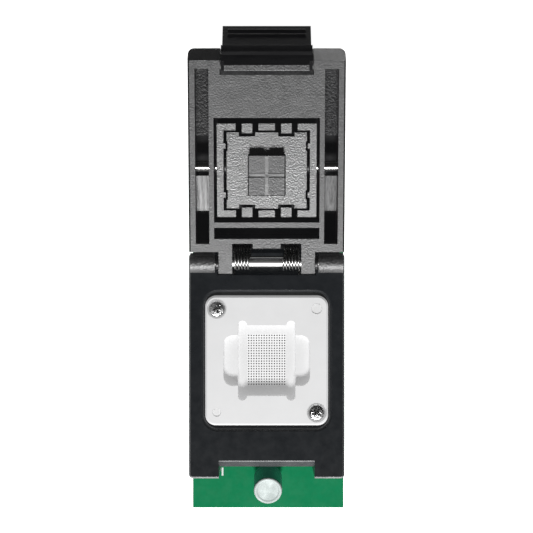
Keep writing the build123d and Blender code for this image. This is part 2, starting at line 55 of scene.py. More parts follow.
# every pattern is worked out in millimetres on the piece itself
def makeMaterial(name, look):
    material = bpy.data.materials.new(name)
    material.use_nodes = True
    tree = material.node_tree
    shader = tree.nodes["Principled BSDF"]
    shader.inputs["Metallic"].default_value = look.get("metallic", 0.0)
    shader.inputs["IOR"].default_value = look.get("ior", 1.5)
    shader.inputs["Specular IOR Level"].default_value = look.get("specular", 0.5)
    # painted light: each surface glows with a share of its own colour, standing in for stray light in the
    # plastic and the lens that lifts every tone a little, shaded places too
    shader.inputs["Emission Strength"].default_value = look.get("paintedGlow", 0.0)

    place = tree.nodes.new("ShaderNodeTexCoord")
    inMillimetres = tree.nodes.new("ShaderNodeMapping")
    inMillimetres.inputs["Scale"].default_value = [1000 * s for s in look.get("stretch", (1, 1, 1))]
    tree.links.new(place.outputs["Object"], inMillimetres.inputs["Vector"])

    def noise(scale, detail=3.0, roughness=0.55):
        node = tree.nodes.new("ShaderNodeTexNoise")
        node.inputs["Scale"].default_value = scale
        node.inputs["Detail"].default_value = detail
        node.inputs["Roughness"].default_value = roughness
        tree.links.new(inMillimetres.outputs["Vector"], node.inputs["Vector"])
        return node.outputs["Fac"]

    def spread(source, low, high, start=0.35, end=0.65):
        node = tree.nodes.new("ShaderNodeMapRange")
        node.inputs["From Min"].default_value = start
        node.inputs["From Max"].default_value = end
        node.inputs["To Min"].default_value = low
        node.inputs["To Max"].default_value = high
        tree.links.new(source, node.inputs["Value"])
        return node.outputs["Result"]

    cloudy = noise(look.get("cloud", 0.12), 4.0)
    grain = noise(look.get("grain", 3.0), 2.0, 0.6)

    blendTones = tree.nodes.new("ShaderNodeMix")
    blendTones.data_type = "RGBA"
    blendTones.inputs["A"].default_value = (*look["dark"], 1)
    blendTones.inputs["B"].default_value = (*look["light"], 1)
    grainShare = look.get("grainTone", 0.5)
    both = tree.nodes.new("ShaderNodeMath")
    both.operation = "MULTIPLY_ADD"
    both.inputs[1].default_value = grainShare
    tree.links.new(spread(grain, 0, 1), both.inputs[0])
    tree.links.new(spread(cloudy, 0, 1 - grainShare), both.inputs[2])
    tree.links.new(both.outputs[0], blendTones.inputs["Factor"])
    tree.links.new(blendTones.outputs["Result"], shader.inputs["Base Color"])
    tree.links.new(blendTones.outputs["Result"], shader.inputs["Emission Color"])

    low, high = look["roughness"]
    tree.links.new(spread(noise(look.get("smear", 0.6), 5.0), low, high), shader.inputs["Roughness"])

    bump = tree.nodes.new("ShaderNodeBump")
    bump.inputs["Strength"].default_value = look.get("bump", 0.3)
    bump.inputs["Distance"].default_value = look.get("bumpDepth", 0.02) * mm
    tree.links.new(grain, bump.inputs["Height"])
    tree.links.new(bump.outputs["Normal"], shader.inputs["Normal"])
    return material


looks = {
    "boardGreen": {"dark": (0.002, 0.16, 0.059), "light": (0.003, 0.185, 0.072), "grain": 1.6,
                   "cloud": 0.08, "roughness": (0.3, 0.4), "bump": 0.1, "specular": 0.35, "paintedGlow": 0.22},
    "boardEdge": {"dark": (0.09, 0.13, 0.05), "light": (0.16, 0.2, 0.09), "grain": 6,
                  "stretch": (0.3, 0.3, 3), "roughness": (0.55, 0.7), "bump": 0.5},
    "silkWhite": {"dark": (0.72, 0.75, 0.74), "light": (0.86, 0.88, 0.87), "grain": 7,
                  "roughness": (0.5, 0.65), "bump": 0.3},
    "headerPlastic": {"dark": (0.012, 0.012, 0.013), "light": (0.022, 0.022, 0.023), "grain": 6,
                      "roughness": (0.4, 0.55), "bump": 0.3, "paintedGlow": 0.3},
    "headerGold": {"dark": (0.75, 0.5, 0.17), "light": (0.95, 0.7, 0.3), "grain": 4,
                   "metallic": 1.0, "roughness": (0.2, 0.34), "stretch": (1, 1, 0.15), "bump": 0.1},
    "probeGold": {"dark": (0.05, 0.04, 0.015), "light": (0.95, 0.75, 0.35), "grain": 0.6, "metallic": 1.0,
                  "roughness": (0.25, 0.4), "bump": 0.1},
    "baseBlack": {"dark": (0.0075, 0.0085, 0.0098), "light": (0.0105, 0.0117, 0.0132),
                  "grain": 2.5, "cloud": 0.25, "roughness": (0.27, 0.36), "bump": 0.1,
                  "grainTone": 0.35, "paintedGlow": 0.6},
    "knuckleBlack": {"dark": (0.01, 0.01, 0.0105), "light": (0.035, 0.035, 0.036), "grain": 2.6,
                     "cloud": 0.3, "roughness": (0.46, 0.52), "bump": 1.0, "bumpDepth": 0.12,
                     "grainTone": 0.8, "specular": 1.0, "ior": 1.62, "paintedGlow": 0.35},
    "rampShade": {"dark": (0.008, 0.01, 0.0112), "light": (0.012, 0.0145, 0.016), "grain": 2.5,
                  "roughness": (0.42, 0.52), "bump": 0.1, "specular": 0.27, "paintedGlow": 0.6},
    "blockWhite": {"dark": (0.62, 0.62, 0.62), "light": (0.7, 0.7, 0.7), "grain": 3,
                   "roughness": (0.45, 0.6), "bump": 0.2, "paintedGlow": 0.22},
    "blockShade": {"dark": (0.1, 0.1, 0.1), "light": (0.16, 0.16, 0.16), "grain": 3,
                   "roughness": (0.55, 0.7), "bump": 0.2},
    "panelWhite": {"dark": (0.54, 0.54, 0.542), "light": (0.56, 0.56, 0.562), "grain": 5,
                   "roughness": (0.45, 0.58), "bump": 0.05, "paintedGlow": 0.65},
    "holeShade": {"dark": (0.004, 0.004, 0.004), "light": (0.008, 0.008, 0.008), "grain": 3,
                  "roughness": (0.7, 0.8), "bump": 0.1, "specular": 0.1},
    "nestWhite": {"dark": (0.49, 0.49, 0.492), "light": (0.51, 0.51, 0.512), "grain": 5, "cloud": 0.2,
                  "roughness": (0.45, 0.58), "bump": 0.05, "grainTone": 0.3, "paintedGlow": 0.61},
    "lidSmooth": {"dark": (0.005, 0.005, 0.0055), "light": (0.0085, 0.0085, 0.009), "grain": 3.0,
                  "roughness": (0.38, 0.48), "bump": 0.15, "grainTone": 0.4, "paintedGlow": 0.75},
    "edgeShade": {"dark": (0.008, 0.008, 0.0085), "light": (0.014, 0.014, 0.0145), "grain": 3.0,
                  "roughness": (0.7, 0.8), "bump": 0.3, "specular": 0.0, "paintedGlow": 0.9},
    # painted shade: the left ear's rounded top is a darker, duller copy of the lid's finish
    "earPaintedShade": {"dark": (0.004, 0.004, 0.0045), "light": (0.007, 0.007, 0.0075), "grain": 3.0,
                  "roughness": (0.5, 0.6), "bump": 0.15, "specular": 0.1, "paintedGlow": 0.5},
    # painted light: the deep ledge under the catch is lifted to a lighter grey
    "ledgePaintedLight": {"dark": (0.05, 0.05, 0.052), "light": (0.12, 0.12, 0.122), "grain": 2.0,
                  "roughness": (0.6, 0.7), "bump": 0.3, "specular": 0.2, "paintedGlow": 0.4},
    "lidBlack": {"dark": (0.01, 0.01, 0.0105), "light": (0.034, 0.034, 0.035), "grain": 3.4, "cloud": 0.12,
                 "roughness": (0.46, 0.56), "bump": 1.0, "bumpDepth": 0.075, "grainTone": 0.85,
                 "specular": 1.0, "ior": 2.04, "paintedGlow": 0.3},
    "pusherBlack": {"dark": (0.012, 0.012, 0.0125), "light": (0.05, 0.05, 0.051), "grain": 3.5,
                    "cloud": 0.15, "roughness": (0.42, 0.52), "bump": 1.0, "bumpDepth": 0.11,
                    "grainTone": 0.85, "specular": 1.0, "ior": 2.55, "paintedGlow": 0.1},
    # painted highlight in the grooves across the boss
    "groovePaintedHighlight": {"dark": (0.02, 0.02, 0.0205), "light": (0.09, 0.09, 0.091), "grain": 3.2,
                     "roughness": (0.4, 0.5), "bump": 0.8, "bumpDepth": 0.05, "grainTone": 0.8,
                     "specular": 1.0, "ior": 3.0, "paintedGlow": 0.1},
    "slotGrain": {"dark": (0.003, 0.003, 0.0035), "light": (0.034, 0.034, 0.035), "grain": 2.5,
                  "cloud": 0.1, "roughness": (0.45, 0.6), "bump": 1.0, "bumpDepth": 0.24,
                  "grainTone": 0.85, "specular": 0.55, "ior": 1.5, "paintedGlow": 0.3},
    "hookFrost": {"dark": (0.008, 0.008, 0.0085), "light": (0.026, 0.026, 0.027), "grain": 2.8,
                  "cloud": 0.1, "roughness": (0.46, 0.56), "bump": 1.0, "bumpDepth": 0.09,
                  "grainTone": 0.8, "specular": 0.42, "ior": 1.72, "paintedGlow": 0.3},
    # painted highlights on the slope in each side slot, brighter on the left than on the right
    "rampLeftPaintedHighlight": {"dark": (0.008, 0.008, 0.0085), "light": (0.16, 0.16, 0.161), "grain": 1.6,
                 "stretch": (1.4, 0.12, 0.12), "roughness": (0.4, 0.5), "bump": 0.9, "bumpDepth": 0.12,
                 "grainTone": 0.85, "specular": 0.9, "paintedGlow": 0.2},
    "rampRightPaintedHighlight": {"dark": (0.005, 0.005, 0.0055), "light": (0.1, 0.1, 0.101), "grain": 2.0,
                  "stretch": (1.4, 0.12, 0.12), "roughness": (0.42, 0.52), "bump": 0.9, "bumpDepth": 0.12,
                  "grainTone": 0.85, "specular": 0.5, "paintedGlow": 0.2},
    "latchBlack": {"dark": (0.004, 0.004, 0.0045), "light": (0.0075, 0.0075, 0.008), "grain": 3.0,
                   "stretch": (0.1, 1, 1), "roughness": (0.4, 0.5), "bump": 0.15, "cloud": 0.4,
                   "specular": 0.32, "paintedGlow": 0.9},
    # painted highlight for rounded edges that face the lamp
    "edgePaintedHighlight": {"dark": (0.04, 0.042, 0.044), "light": (0.16, 0.165, 0.17), "grain": 1.4,
                  "roughness": (0.3, 0.42), "bump": 0.3, "specular": 1.0, "ior": 1.6},
    "wireShade": {"dark": (0.04, 0.04, 0.04), "light": (0.1, 0.1, 0.1), "grain": 4, "metallic": 0.6,
                  "roughness": (0.5, 0.6), "bump": 0.1},
    "springSteel": {"dark": (0.22, 0.22, 0.22), "light": (0.42, 0.42, 0.41), "grain": 5, "metallic": 1.0,
                    "roughness": (0.22, 0.34), "bump": 0.1},
    "pinSteel": {"dark": (0.55, 0.55, 0.54), "light": (0.8, 0.8, 0.79), "grain": 5, "metallic": 1.0,
                 "stretch": (0.06, 1, 1), "roughness": (0.16, 0.27), "bump": 0.1},
    "hingeSteel": {"dark": (0.8, 0.8, 0.79), "light": (0.95, 0.95, 0.94), "grain": 5, "metallic": 1.0,
                   "stretch": (0.06, 1, 1), "roughness": (0.48, 0.54), "bump": 0.1},
    "screwSteel": {"dark": (0.2, 0.2, 0.202), "light": (0.85, 0.85, 0.85), "grain": 3.6, "metallic": 1.0,
                   "roughness": (0.2, 0.44), "bump": 1.0, "bumpDepth": 0.12, "grainTone": 0.9},
    "canAluminium": {"dark": (0.3, 0.34, 0.33), "light": (0.37, 0.41, 0.4), "grain": 4, "metallic": 0.15,
                     "roughness": (0.5, 0.62), "bump": 0.2, "paintedGlow": 0.1},
    "sleeveDark": {"dark": (0.01, 0.07, 0.045), "light": (0.015, 0.095, 0.06), "grain": 3,
                   "roughness": (0.3, 0.45), "bump": 0.15, "paintedGlow": 0.45},
    "bungRubber": {"dark": (0.015, 0.014, 0.013), "light": (0.03, 0.028, 0.026), "grain": 5,
                   "roughness": (0.6, 0.8), "bump": 0.4},
    "leadTin": {"dark": (0.6, 0.6, 0.6), "light": (0.8, 0.8, 0.8), "grain": 4, "metallic": 1.0,
                "roughness": (0.28, 0.42), "bump": 0.2},
}
materials = {name: makeMaterial(name, look) for name, look in looks.items()}
print("materials", len(materials))


# pieces are modelled in millimetres and scaled once, when they are finished
def finishPiece(bm, name, material, body, replaced=(), smoothAngle=35, others=(), recalc=True):
    if recalc:
        bmesh.ops.recalc_face_normals(bm, faces=bm.faces)
    bmesh.ops.scale(bm, vec=(mm, mm, mm), verts=bm.verts)
    mesh = bpy.data.meshes.new(name)
    bm.to_mesh(mesh)
    bm.free()
    for finish in (material, *others):
        mesh.materials.append(materials[finish])
    piece = bpy.data.objects.new(name, mesh)
    bpy.context.scene.collection.objects.link(piece)
    mesh.shade_smooth()
    mesh.set_sharp_from_angle(angle=radians(smoothAngle))
    even = piece.modifiers.new("evenNormals", "WEIGHTED_NORMAL")
    even.keep_sharp = True
    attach(piece, body)
    if replaced:
        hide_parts(*replaced)
    return piece


def copyOfNode(name):
    bm = bmesh.new()
    bm.from_mesh(nodes[name].data)
    bmesh.ops.scale(bm, vec=(1 / mm, 1 / mm, 1 / mm), verts=bm.verts)
    bmesh.ops.remove_doubles(bm, verts=bm.verts, dist=0.0005)
    bmesh.ops.dissolve_limit(bm, angle_limit=radians(0.6), verts=bm.verts, edges=bm.edges)
    return bm


def softenEdges(bm, width, segments=2, sharpest=28):
    edges = [e for e in bm.edges if len(e.link_faces) == 2 and e.calc_face_angle(0) > radians(sharpest)]
    bmesh.ops.bevel(bm, geom=edges, offset=width, offset_type="OFFSET", segments=segments, profile=0.5,
                    affect="EDGES", clamp_overlap=True, material=-1)
    return bm


def roundEdges(bm, width, chosen, segments=4):
    edges = [e for e in bm.edges if all(chosen(v.co) for v in e.verts) and e.calc_length() > 2]
    bmesh.ops.bevel(bm, geom=edges, offset=width, offset_type="OFFSET", segments=segments, profile=0.5,
                    affect="EDGES", clamp_overlap=True, material=-1)
    return bm


def newIn(bm, before):
    return [v for v in bm.verts if v not in before]


def frame3(origin, across, out):
    # a place whose local x is across and local z is out
    across, out = Vector(across).normalized(), Vector(out).normalized()
    turn = Matrix((across, out.cross(across), out)).transposed().to_4x4()
    return Matrix.Translation(origin) @ turn


def addBlock(bm, centre, size, place=Matrix.Identity(4), edge=0.0):
    before = set(bm.verts)
    made = bmesh.ops.create_cube(bm, size=1.0)["verts"]
    bmesh.ops.scale(bm, vec=size, verts=made)
    bmesh.ops.translate(bm, vec=centre, verts=made)
    if edge:
        edges = list({e for v in made for e in v.link_edges})
        bmesh.ops.bevel(bm, geom=edges, offset=edge, offset_type="OFFSET", segments=2, profile=0.5,
                        affect="EDGES", material=-1)
    made = newIn(bm, before)
    bmesh.ops.transform(bm, matrix=place, verts=made)
    return made


def addRod(bm, start, end, radius, sides=32, edge=0.0, place=Matrix.Identity(4)):
    before = set(bm.verts)
    start, end = Vector(start), Vector(end)
    axis = end - start
    made = bmesh.ops.create_cone(bm, cap_ends=True, segments=sides, radius1=radius, radius2=radius,
                                 depth=axis.length)["verts"]
    if edge:
        rims = {e for v in made for e in v.link_edges if e.calc_face_angle(0) > radians(60)}
        bmesh.ops.bevel(bm, geom=list(rims), offset=edge, offset_type="OFFSET", segments=2, profile=0.5,
                        affect="EDGES", material=-1)
    made = newIn(bm, before)
    turn = Vector((0, 0, 1)).rotation_difference(axis.normalized()).to_matrix().to_4x4()
    bmesh.ops.transform(bm, matrix=place @ Matrix.Translation((start + end) / 2) @ turn, verts=made)
    return made


def addLathe(bm, profile, place=Matrix.Identity(4), steps=48):
    # the profile runs as (radius, height) pairs, from the axis and back to it
    before = set(bm.verts)
    spots = [bm.verts.new((r, 0, z)) for r, z in profile]
    edges = [bm.edges.new(pair) for pair in zip(spots, spots[1:])]
    bmesh.ops.spin(bm, geom=spots + edges, cent=(0, 0, 0), axis=(0, 0, 1), angle=2 * pi, steps=steps,
                   use_merge=True, use_duplicate=False)
    made = newIn(bm, before)
    bmesh.ops.remove_doubles(bm, verts=made, dist=1e-5)
    made = newIn(bm, before)
    bmesh.ops.transform(bm, matrix=place, verts=made)
    return made


def addCoil(bm, place, radius, wire, length, turns, stepsPerTurn=22, sides=8):
    # a round wire spun round the spring's axis with a little rise at each step
    before = set(bm.verts)
    section = Matrix.Translation((radius, 0, wire / 2)) @ Matrix.Rotation(pi / 2, 4, "X")
    ring = bmesh.ops.create_circle(bm, cap_ends=False, segments=sides, radius=wire / 2,
                                   matrix=section)["verts"]
    steps = round(turns * stepsPerTurn)
    rise = (0, 0, (length - wire) / steps)
    edges = list({e for v in ring for e in v.link_edges})
    bmesh.ops.spin(bm, geom=ring + edges, cent=(0, 0, 0), axis=(0, 0, 1), dvec=rise,
                   angle=2 * pi * turns, steps=steps, use_merge=False, use_duplicate=False)
    made = newIn(bm, before)
    ends = [e for e in {e for v in made for e in v.link_edges} if len(e.link_faces) == 1]
    bmesh.ops.holes_fill(bm, edges=ends, sides=sides + 1)
    bmesh.ops.transform(bm, matrix=place, verts=made)
    return made


def carve(bm, cutter, crossed=False):
    # crossed says that the parts of the cutter run through each other
    bmesh.ops.recalc_face_normals(cutter, faces=cutter.faces)
    pair = []
    for source in (bm, cutter):
        mesh = bpy.data.meshes.new("carving")
        source.to_mesh(mesh)
        source.free()
        pair.append(bpy.data.objects.new("carving", mesh))
        bpy.context.scene.collection.objects.link(pair[-1])
    cut = pair[0].modifiers.new("cut", "BOOLEAN")
    cut.object = pair[1]
    cut.operation = "DIFFERENCE"
    cut.solver = "EXACT"
    cut.use_self = crossed
    result = bmesh.new()
    result.from_object(pair[0], bpy.context.evaluated_depsgraph_get())
    for piece in pair:
        bpy.data.objects.remove(piece)
    return result


# where the lid's finishes begin and end in its own plane; a facing of 1 looks straight out of it
zones = {"slotX": (10.8, 13.6), "slotBelow": -1.0, "rampY": (9.5, 16.6), "rampFacing": (0.9, 0.99),
         "stepY": 24.0, "armY": 3.0, "armFacing": -0.2, "armSideways": 0.3, "earY": 38.1, "earX": 8.9,
         "earAbove": -2.5, "earFacing": 0.4, "ledgeY": (35.4, 37.0), "ledgeX": 9.0, "ledgeBelow": -3.0,
         "ledgeFacing": 0.9, "openFacing": 0.94}


def between(value, limits):
    return limits[0] < value < limits[1]


def frostFaces(bm, lowest):
    # 1 is the spark-eroded finish of the faces that look straight out of the lid
    bm.normal_update()
    for f in bm.faces:
        if f.normal.dot(lidOut) > zones["openFacing"] and (unposed @ f.calc_center_median()).z > lowest:
            f.material_index = 1


def finishLidFaces(bm):
    # 1 arms and right ear, 2 and 3 left and right ramps with painted highlights, brighter on the left, 4
    # slot floors, 5 left ear in painted shade, 6 ledge lifted with painted light
    for f in bm.faces:
        spot = unposed @ f.calc_center_median()
        facing = f.normal.dot(lidOut)
        inSlot = between(abs(spot.x), zones["slotX"]) and spot.z < zones["slotBelow"]
        onArm = spot.y < zones["armY"] and facing > zones["armFacing"]
        onEar = spot.y > zones["earY"] and abs(spot.x) > zones["earX"] and spot.z > zones["earAbove"]
        onLedge = between(spot.y, zones["ledgeY"]) and abs(spot.x) < zones["ledgeX"]
        if onEar and facing > zones["earFacing"]:
            f.material_index = 1 if spot.x > 0 else 5
        elif f.material_index == 1:
            continue
        elif onArm and abs(f.normal.x) < zones["armSideways"]:
            f.material_index = 1
        elif inSlot and between(spot.y, zones["rampY"]) and between(facing, zones["rampFacing"]):
            f.material_index = 2 if spot.x < 0 else 3
        elif inSlot and spot.y > zones["stepY"] and facing > zones["openFacing"]:
            f.material_index = 4
        elif onLedge and spot.z < zones["ledgeBelow"] and facing > zones["ledgeFacing"]:
            f.material_index = 6


def paintEdgeHighlights(bm, index, highlightedEdges, back=Matrix.Identity(4)):
    # painted highlight: a rounded edge that faces the front gets a lighter colour for the thin line of light
    # it reflects
    tilt = 0.2
    bm.normal_update()
    for f in bm.faces:
        spot, out = back @ f.calc_center_median(), back.to_3x3() @ f.normal
        along = between(spot.y, highlightedEdges["y"]) and spot.z > highlightedEdges["above"] and abs(spot.x) < highlightedEdges["halfX"]
        if along and out.y < -tilt and out.z > tilt:
            f.material_index = index


def finishOf(verts, index):
    for f in {f for v in verts for f in v.link_faces}:
        f.material_index = index


# board, header strips and pins
board = {"under": 2.5, "top": 4.1, "pitch": 2.54, "perRow": 24, "rows": (-7.62, 7.62), "baseRear": 13.1,
         "soften": 0.06}
bm = softenEdges(copyOfNode("circuit_board"), board["soften"])
bm.normal_update()
for f in bm.faces:
    f.material_index = 0 if abs(f.normal.z) > 0.5 else 1
finishPiece(bm, "boardPanel", "boardGreen", "base", ("circuit_board",),
            others=("boardEdge",))

pinRows = [(k - (board["perRow"] - 1) / 2) * board["pitch"] for k in range(board["perRow"])]
strip = {"width": 2.5, "height": 2.5, "notch": 0.4}
pin = {"width": 0.64, "tip": -5.8, "taper": 0.7, "tipWidth": 0.3}
for side, rowX in (("Left", board["rows"][0]), ("Right", board["rows"][1])):
    bm = bmesh.new()
    for y in pinRows:
        made = addBlock(bm, (rowX, y, strip["height"] / 2),
                        (strip["width"], board["pitch"], strip["height"]))
        upright = [e for e in {e for v in made for e in v.link_edges}
                   if abs(e.verts[0].co.z - e.verts[1].co.z) > 1]
        bmesh.ops.bevel(bm, geom=upright, offset=strip["notch"], offset_type="OFFSET", segments=1,
                        profile=0.5, affect="EDGES", material=-1)
    finishPiece(bm, "headerStrip" + side, "headerPlastic", "base",
                ("header_strip_" + side.lower(),), smoothAngle=20)
    bm = bmesh.new()
    for y in pinRows:
        made = addBlock(bm, (rowX, y, (pin["tip"] + board["under"]) / 2),
                        (pin["width"], pin["width"], board["under"] - pin["tip"]))
        low = [v for v in made if v.co.z < 0]
        bmesh.ops.translate(bm, vec=(0, 0, pin["taper"]), verts=low)
        foot = next(f for f in low[0].link_faces if all(v in low for v in f.verts))
        tip = bmesh.ops.extrude_discrete_faces(bm, faces=[foot])["faces"][0]
        bmesh.ops.translate(bm, vec=(0, 0, -pin["taper"]), verts=tip.verts)
        bmesh.ops.scale(bm, vec=(pin["tipWidth"] / pin["width"],) * 2 + (1,), verts=tip.verts,
                        space=Matrix.Translation((-rowX, -y, 0)))
    finishPiece(bm, "headerPins" + side, "headerGold", "base",
                ("header_pins_" + side.lower(),), smoothAngle=20)

# solder joints where the header pins come out behind the housing
joint = {"behind": 0.5, "pad": (0.82, 0.05), "cone": ((0.66, 0.07), (0.45, 0.3), (0.36, 0.6), (0.33, 0.75)),
         "tail": 1.15, "tailWidth": 0.5, "tailEdge": 0.06}
bm = bmesh.new()
for rowX in board["rows"]:
    for y in pinRows:
        if y > board["baseRear"] + joint["behind"]:
            spot = Matrix.Translation((rowX, y, board["top"]))
            addLathe(bm, [(0, 0), (joint["pad"][0], 0), joint["pad"], *joint["cone"],
                          (0, joint["cone"][-1][1])], spot, steps=16)
            addBlock(bm, (rowX, y, board["top"] + joint["tail"] / 2),
                     (joint["tailWidth"], joint["tailWidth"], joint["tail"]), edge=joint["tailEdge"])
finishPiece(bm, "solderJoints", "leadTin", "base")

# one stroke of the outline printed on the board shows beside the catch
stroke = {"x": -9.26, "y": -31.1, "width": 0.36, "length": 1.6, "thick": 0.016}
bm = bmesh.new()
addBlock(bm, (stroke["x"], stroke["y"], board["top"] + stroke["thick"] / 2),
         (stroke["width"], stroke["length"], stroke["thick"]))
finishPiece(bm, "printedStroke", "silkWhite", "base")
print("board done")

# base housing
base = {"soften": 0.17, "knuckleX": 9.8, "knuckleRadius": 1.95, "catchEdge": -26.9, "lipRound": 0.3,
        "rampY": (-28.2, -27.2), "rampHalf": 9.4, "rampUp": 0.3, "rampSlope": (0, -0.78, 0.625)}
# where painted highlights lie along rounded edges of the housing
highlightedEdges = {"lip": {"y": (-27.25, -26.8), "above": 15.7, "halfX": 9.6},
        "front": {"y": (-30.45, -29.95), "above": 15.65, "halfX": 16}}
foot = {"middle": 1.35, "length": 1.9, "width": 18.3, "thick": 0.5, "sunk": 0.01, "edge": 0.05}
flange = {"rear": 13.05, "end": 14.7, "height": 0.5, "width": 29.4, "edge": 0.1}
near = 0.05
bm = roundEdges(copyOfNode("base_housing"), base["lipRound"], lambda spot: (
    abs(spot.y - base["catchEdge"]) < near and abs(spot.z - deck["baseTop"]) < near))
bm = softenEdges(bm, base["soften"], segments=3)
bm.normal_update()
for f in bm.faces:
    spot = f.calc_center_median()
    beside = abs(spot.x - deck["x"]) > base["knuckleX"]
    overHinge = abs(spot.y - deck["hingeY"]) < base["knuckleRadius"] and spot.z > deck["baseTop"]
    if beside and overHinge and abs(f.normal.x) < 0.5:
        f.material_index = 1
# painted highlight along the rounded lip of the catch
paintEdgeHighlights(bm, 2, highlightedEdges["lip"])
for f in bm.faces:
    spot = f.calc_center_median()
    if between(spot.y, base["rampY"]) and abs(spot.x) < base["rampHalf"] and f.normal.z > base["rampUp"]:
        f.material_index = 3
# painted highlight along the rounded front edges of the housing
paintEdgeHighlights(bm, 2, highlightedEdges["front"])
# the catch ramp ends below in a small lip that stands out
slope = frame3((deck["x"], base["catchEdge"], deck["baseTop"]), (1, 0, 0), base["rampSlope"])
made = addBlock(bm, (0, -foot["middle"], -foot["thick"] / 2 - foot["sunk"]),
                (foot["width"], foot["length"], foot["thick"]), place=slope, edge=foot["edge"])
finishOf(made, 3)
# a low flange behind the housing closes the view to the board through the hinge gap
addBlock(bm, (deck["x"], (flange["rear"] + flange["end"]) / 2, board["top"] + flange["height"] / 2),
         (flange["width"], flange["end"] - flange["rear"], flange["height"]), edge=flange["edge"])
finishPiece(bm, "baseMoulding", "baseBlack", "base", ("base_housing",), recalc=False,
            others=("knuckleBlack", "edgePaintedHighlight", "rampShade"))

# only the guide pegs of the contact block come up to the light
block = {"soften": 0.12, "pegsAbove": 11.6}
bm = softenEdges(copyOfNode("contact_block"), block["soften"])
for f in bm.faces:
    f.material_index = 0 if f.calc_center_median().z > block["pegsAbove"] else 1
finishPiece(bm, "contactBlock", "blockWhite", "base", ("contact_block",), recalc=False,
            others=("blockShade",))
print("base done")

# floating nest: the moulding, and a floor panel drilled for the probes
nest = {"centre": (-0.3, -7.65), "floor": 13.7, "thick": 0.8, "columns": 15, "rows": 20, "pitch": 0.5,
        "web": 0.185, "round": 0.06, "soften": 0.26}
panel = (nest["columns"] * nest["pitch"], nest["rows"] * nest["pitch"])
bm = softenEdges(copyOfNode("chip_nest"), nest["soften"], segments=4)
opening = bmesh.new()
addBlock(opening, (nest["centre"][0], nest["centre"][1], nest["floor"] - nest["thick"] / 2),
         (panel[0], panel[1], nest["thick"] * 2))
bm = carve(bm, opening)
finishPiece(bm, "nestMoulding", "nestWhite", "nest", ("chip_nest",), recalc=False)

bm = bmesh.new()
cells = bmesh.ops.create_grid(bm, x_segments=nest["columns"], y_segments=nest["rows"], size=0.5)["verts"]
bmesh.ops.scale(bm, vec=(panel[0], panel[1], 1), verts=cells)
bmesh.ops.translate(bm, vec=(nest["centre"][0], nest["centre"][1], nest["floor"]), verts=cells)
holes = list(bm.faces)
bmesh.ops.inset_individual(bm, faces=holes, thickness=nest["web"])
corners = list({v for f in holes for v in f.verts})
bmesh.ops.bevel(bm, geom=corners, offset=nest["round"], offset_type="OFFSET", segments=1, profile=0.5,
                affect="VERTICES", material=-1)
# each hole is now an octagon
bmesh.ops.delete(bm, geom=[f for f in bm.faces if len(f.verts) == 8], context="FACES")
skin = bmesh.ops.extrude_face_region(bm, geom=list(bm.faces))
bmesh.ops.translate(bm, vec=(0, 0, -nest["thick"]),
                    verts=[v for v in skin["geom"] if isinstance(v, bmesh.types.BMVert)])
bm.normal_update()
for f in bm.faces:
    f.material_index = 0 if abs(f.normal.z) > 0.5 else 1
finishPiece(bm, "nestHolePanel", "panelWhite", "nest", smoothAngle=20,
            others=("holeShade",))

probe = {"foot": 0.1, "tip": 0.03, "height": 1.4, "middle": 12.25}
bm = bmesh.new()
for column in range(nest["columns"]):
    for row in range(nest["rows"]):
        x = nest["centre"][0] + (column - (nest["columns"] - 1) / 2) * nest["pitch"]
        y = nest["centre"][1] + (row - (nest["rows"] - 1) / 2) * nest["pitch"]
        bmesh.ops.create_cone(bm, cap_ends=True, segments=6, radius1=probe["foot"], radius2=probe["tip"],
                              depth=probe["height"], matrix=Matrix.Translation((x, y, probe["middle"])))
finishPiece(bm, "probeTips", "probeGold", "base", ("contact_probes",), smoothAngle=60)
print("nest done")

# two cross-head shoulder screws hold the nest down
screw = {"spots": ((-9.95, 2.35), (9.35, -17.65)), "turns": (18, 52), "top": 15.65,
         "cross": (1.95, 0.42, 1.1), "crossMiddle": -0.2, "crossTaper": (0.45, 0.6, 1),
         "head": ((0, 0), (1.0, -0.02), (1.36, -0.1), (1.54, -0.25), (1.6, -0.45), (1.6, -1.1)),
         "shank": ((0.9, -1.1), (0.9, -8.13), (0, -8.13))}
bm = bmesh.new()
cutter = bmesh.new()
for (x, y), turn in zip(screw["spots"], screw["turns"]):
    spot = Matrix.Translation((x, y, screw["top"]))
    addLathe(bm, [*screw["head"], *screw["shank"]], spot, steps=40)
    for quarter in (0, 90):
        arm = addBlock(cutter, (0, 0, screw["crossMiddle"]), screw["cross"])
        low = [v for v in arm if v.co.z < screw["crossMiddle"]]
        bmesh.ops.scale(cutter, vec=screw["crossTaper"], verts=low)
        bmesh.ops.transform(cutter, matrix=spot @ Matrix.Rotation(radians(turn), 4, "Z")
                            @ Matrix.Rotation(radians(quarter), 4, "Z"), verts=arm)
bmesh.ops.recalc_face_normals(bm, faces=bm.faces)
bm = carve(bm, cutter, crossed=True)
finishPiece(bm, "shoulderScrews", "screwSteel", "base", ("shoulder_screws",), recalc=False)

# keep is the share of its length that a spring has when its piece is pressed home
coils = {"nest": {"radius": 1.35, "wire": 0.25, "turns": 3, "length": 1.36, "seat": 11.52, "keep": 0.61,
                  "x": (-9.95, 9.35), "y": (2.35, -17.65)},
         "latch": {"radius": 1.1, "wire": 0.3, "turns": 4.5, "length": 4.06, "seat": (33.32, -5.95),
                   "keep": 0.7, "x": (-4.75, 4.75)},
         "plate": {"radius": 1.1, "wire": 0.3, "turns": 5, "length": 3.76, "seat": -3.88, "keep": 0.88,
                   "x": (-5.2, 5.2), "y": (13.3, 22.1)}}


def addSpring(bm, place, coil):
    addCoil(bm, place, coil["radius"], coil["wire"], coil["length"], coil["turns"])


def finishSprings(bm, name, body, node):
    return finishPiece(bm, name, "springSteel", body, (node,), smoothAngle=60)


coil = coils["nest"]
bm = bmesh.new()
for x in coil["x"]:
    for y in coil["y"]:
        addSpring(bm, Matrix.Translation((x, y, coil["seat"])), coil)
springs = finishSprings(bm, "nestSprings", "base", "nest_springs")
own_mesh(springs)
print("screws and springs done")

